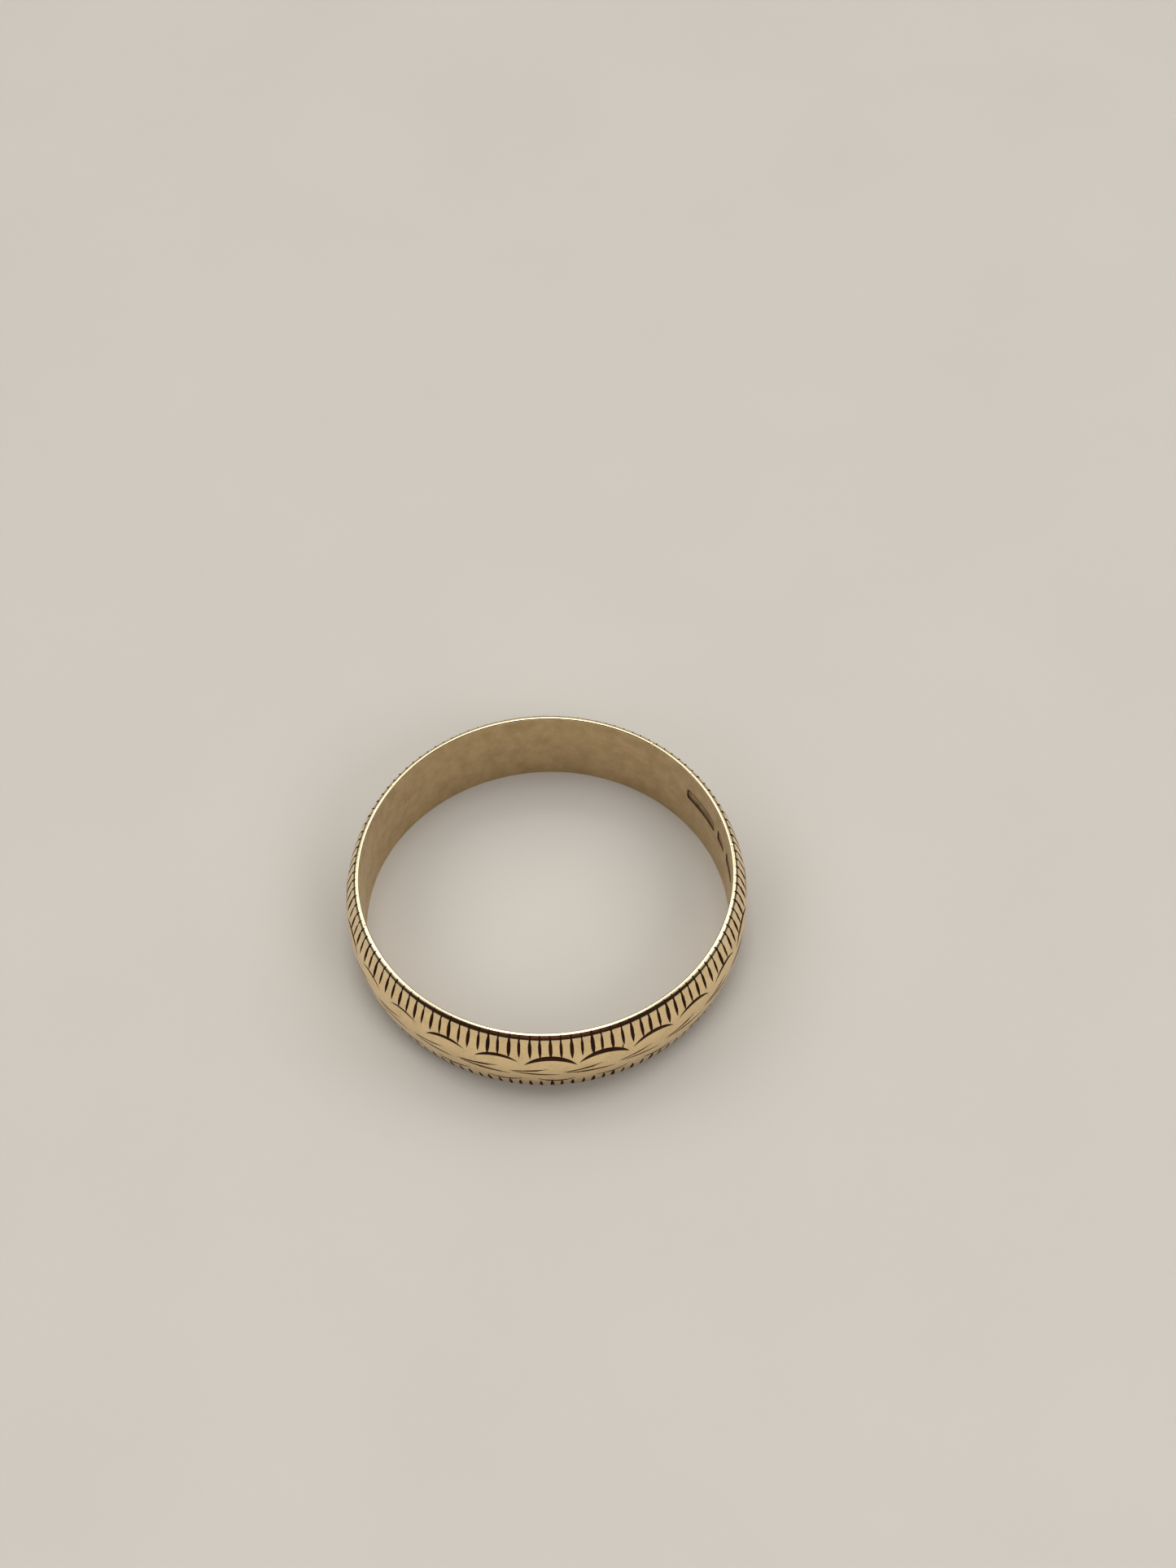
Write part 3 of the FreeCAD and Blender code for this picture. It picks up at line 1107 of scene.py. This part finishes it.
def gold_finishes() -> dict[Zone, Material]:
    """The material of every zone of the band.

    Returns:
        The materials by zone.
    """
    metal = (0.94, 0.72, 0.405)
    brown = (0.46, 0.30, 0.16)
    finishes = {
        Zone.DOME: GoldFinish("dome_gold", metal, brown, roughness=0.24),
        Zone.RIM: GoldFinish("rim_gold", (0.82, 0.68, 0.42), brown, roughness=0.12,
                             clouds=0.08, specks=0.1, scratches=0.3),
        # Painted shade: the bore's metal and tarnish are a darker copy of the dome's gold,
        # standing for the shaded floor that the inside of the ring mirrors; only its brushed
        # grain and dullness are the metal's own finish.
        Zone.BORE: GoldFinish("bore_gold", (0.67, 0.50, 0.275), (0.34, 0.225, 0.11),
                              roughness=0.30, clouds=0.35, grain=1.0),
        Zone.LIP: GoldFinish("lip_gold", metal, brown, roughness=0.15, clouds=0.05, specks=0.0,
                             scratches=0.0),
        Zone.CUT: GoldFinish("cut_gold", (0.050, 0.018, 0.009), (0.018, 0.007, 0.004),
                             roughness=0.6, metallic=0.0, shine=0.15, clouds=0.8),
        Zone.STRAW: GoldFinish("straw_gold", (0.16, 0.09, 0.044), (0.06, 0.03, 0.015),
                               roughness=0.32, clouds=0.5),
        # Painted shade: the stamp's field follows the bore's darker copy of the gold, with its
        # own heavy tarnish and specks on top.
        Zone.STAMP: GoldFinish("stamp_gold", (0.56, 0.41, 0.22), (0.12, 0.07, 0.035),
                               roughness=0.38, clouds=0.9, specks=0.8),
    }
    effects = SharedEffects()
    return {zone: finish.material(effects) for zone, finish in finishes.items()}


@dataclass(frozen=True)
class SoftBox:
    """A large soft light aimed at the ring, in millimetres. Gold shows only mirrored ones."""

    name: str
    place: Place
    size: tuple[float, float]
    power: float
    mirrored: bool = True

    def hang(self) -> None:
        """Put the light into the studio."""
        lamp = bpy.data.lights.new(self.name, "AREA")
        lamp.shape = "RECTANGLE"
        lamp.size = self.size[0] * METRES
        lamp.size_y = self.size[1] * METRES
        lamp.energy = self.power
        holder = bpy.data.objects.new(self.name, lamp)
        holder.visible_glossy = self.mirrored
        holder.location = Vector(self.place) * METRES
        facing = Vector() - Vector(self.place)
        holder.rotation_euler = facing.to_track_quat("-Z", "Y").to_euler()
        bpy.context.scene.collection.objects.link(holder)


@dataclass(frozen=True)
class Studio:
    """The pale floor and the soft light round the ring."""

    floor_height: float
    floor_size: float = 900.0
    floor_colour: Colour = (0.56, 0.53, 0.475)
    floor_mottle: Noise = Noise(scale=90.0, detail=5.0)
    mottle_shade: float = 0.94
    floor_roughness: float = 0.85
    backdrop_colour: Colour = (0.60, 0.565, 0.505)
    sky_strength: float = 0.88
    sky_front: tuple[float, float] = (-0.30, 0.05)
    sky_horizon: tuple[float, float] = (0.30, 0.62)
    horizon_light: float = 0.09
    dark_colour: Colour = (0.035, 0.020, 0.013)
    glow_colour: Colour = (0.16, 0.075, 0.045)
    glow_way: Place = (0.0, -0.574, 0.819)
    glow_reach: float = 0.86
    boxes: tuple[SoftBox, ...] = (
        SoftBox("left_window", (-420, 210, 520), (420, 420), 0.8),
        SoftBox("right_window", (420, 210, 520), (420, 420), 0.75),
        SoftBox("top_window", (0, 40, 700), (280, 280), 0.9),
        SoftBox("left_fill", (-350, -380, 420), (300, 300), 0.8, mirrored=False),
        SoftBox("right_fill", (350, -380, 420), (300, 300), 1.3, mirrored=False),
        SoftBox("rim_strip", (0, 336, 600), (220, 76), 0.20),
    )

    def build(self) -> None:
        """Lay the floor, hang the lights and set the sky."""
        mesh = bmesh.new()
        bmesh.ops.create_grid(mesh, x_segments=1, y_segments=1,
                              size=self.floor_size / 2 * METRES)
        bmesh.ops.translate(mesh, verts=mesh.verts, vec=(0, 0, self.floor_height * METRES))
        floor = bpy.data.objects.new("studio_floor", bpy.data.meshes.new("studio_floor"))
        mesh.to_mesh(floor.data)
        mesh.free()
        floor.data.materials.append(self.floor_material())
        bpy.context.scene.collection.objects.link(floor)
        for box in self.boxes:
            box.hang()
        self.set_sky()

    def floor_material(self) -> Material:
        """The matt, slightly mottled finish of the floor.

        Returns:
            The material.
        """
        made = bpy.data.materials.new("floor_paper")
        made.use_nodes = True
        board = NodeBoard(made.node_tree)
        place = board.add("ShaderNodeTexCoord")
        mottle = self.floor_mottle.values(board, place.outputs["Object"])
        darker = tuple(part * self.mottle_shade for part in self.floor_colour)
        colour = board.blend(mottle, (*darker, 1), (*self.floor_colour, 1))
        shader = board.add("ShaderNodeBsdfPrincipled", Base_Color=colour,
                           Roughness=self.floor_roughness)
        board.add("ShaderNodeOutputMaterial", Surface=shader.outputs[0])
        return made

    def set_sky(self) -> None:
        """A grey sky, dark near the horizon and in front, behind a pale paper backdrop."""
        world = bpy.data.worlds.new("studio_sky")
        world.use_nodes = True
        board = NodeBoard(world.node_tree)
        place = board.add("ShaderNodeTexCoord")
        parts = board.add("ShaderNodeSeparateXYZ", Vector=place.outputs["Generated"])
        card = board.maths("MULTIPLY", board.span(parts.outputs["Y"], *self.sky_front),
                           board.span(parts.outputs["Z"], *self.sky_horizon,
                                      least=self.horizon_light))
        facing = board.add("ShaderNodeVectorMath", operation="DOT_PRODUCT")
        board.plug(facing, "Vector#0", place.outputs["Generated"])
        board.plug(facing, "Vector#1", self.glow_way)
        glow = board.span(facing.outputs["Value"], self.glow_reach, 1.0)
        dark = board.blend(glow, (*self.dark_colour, 1), (*self.glow_colour, 1))
        sky = board.blend(card, dark, (1, 1, 1, 1))
        light = board.add("ShaderNodeBackground", Color=sky, Strength=self.sky_strength)
        paper = board.add("ShaderNodeBackground", Color=(*self.backdrop_colour, 1))
        rays = board.add("ShaderNodeLightPath")
        seen = board.add("ShaderNodeMixShader", Fac=rays.outputs["Is Camera Ray"])
        board.plug(seen, "Shader#0", light.outputs[0])
        board.plug(seen, "Shader#1", paper.outputs[0])
        board.add("ShaderNodeOutputWorld", Surface=seen.outputs[0])
        bpy.context.scene.world = world


@dataclass(frozen=True)
class PhotoCamera:
    """The photograph's camera. Its places are in millimetres."""

    place: Place = (1.136, -65.230, 102.633)
    aim: Place = (2.293, 8.313, -2.372)
    roll_degrees: float = -1.146
    lens: float = 56.05
    sensor: float = 36.0
    nearest: float = 5.0
    furthest: float = 10000.0

    def set_up(self) -> None:
        """Put the camera in place and make it the scene's."""
        camera = bpy.data.cameras.new("photo_camera")
        camera.lens = self.lens
        camera.sensor_fit = "VERTICAL"
        camera.sensor_height = self.sensor
        camera.clip_start = self.nearest * METRES
        camera.clip_end = self.furthest * METRES
        holder = bpy.data.objects.new("photo_camera", camera)
        ahead = (Vector(self.aim) - Vector(self.place)).normalized()
        level = ahead.cross(Vector((0, 0, 1))).normalized()
        right = Matrix.Rotation(math.radians(self.roll_degrees), 3, -ahead) @ level
        turn = Matrix((right, right.cross(ahead), -ahead)).transposed()
        holder.matrix_world = Matrix.Translation(Vector(self.place) * METRES) @ turn.to_4x4()
        bpy.context.scene.collection.objects.link(holder)
        bpy.context.scene.camera = holder


def packed_section() -> Section:
    """The band's section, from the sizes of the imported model.

    Returns:
        The section.
    """
    lowest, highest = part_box("band")
    bore = next(mount for mount in frame["record"]["mounts"] if mount["name"] == "finger_bore")
    reaches = [abs(part) for corner in (lowest, highest) for part in corner.xy]
    return Section(bore_radius=bore["dims"]["r_mm"],
                   half_width=(highest.z - lowest.z) / 2 / METRES,
                   crown_radius=min(reaches) / METRES)


def main() -> None:
    """Build the ring, the studio and the camera."""
    logging.basicConfig(level=logging.INFO, format="%(name)s: %(message)s")
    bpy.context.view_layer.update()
    section = packed_section()
    piece = EngravedBand(section, gold_finishes()).build()
    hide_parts("band")
    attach(piece, "root")
    LOG.info("engraved band: %d triangles", len(piece.data.polygons))
    Studio(floor_height=-section.half_width).build()
    LOG.info("studio: floor and %d lights", len(Studio.boxes))
    PhotoCamera().set_up()
    LOG.info("camera in place")
    bpy.context.scene.view_settings.view_transform = "Standard"


if __name__ == "__main__":
    main()
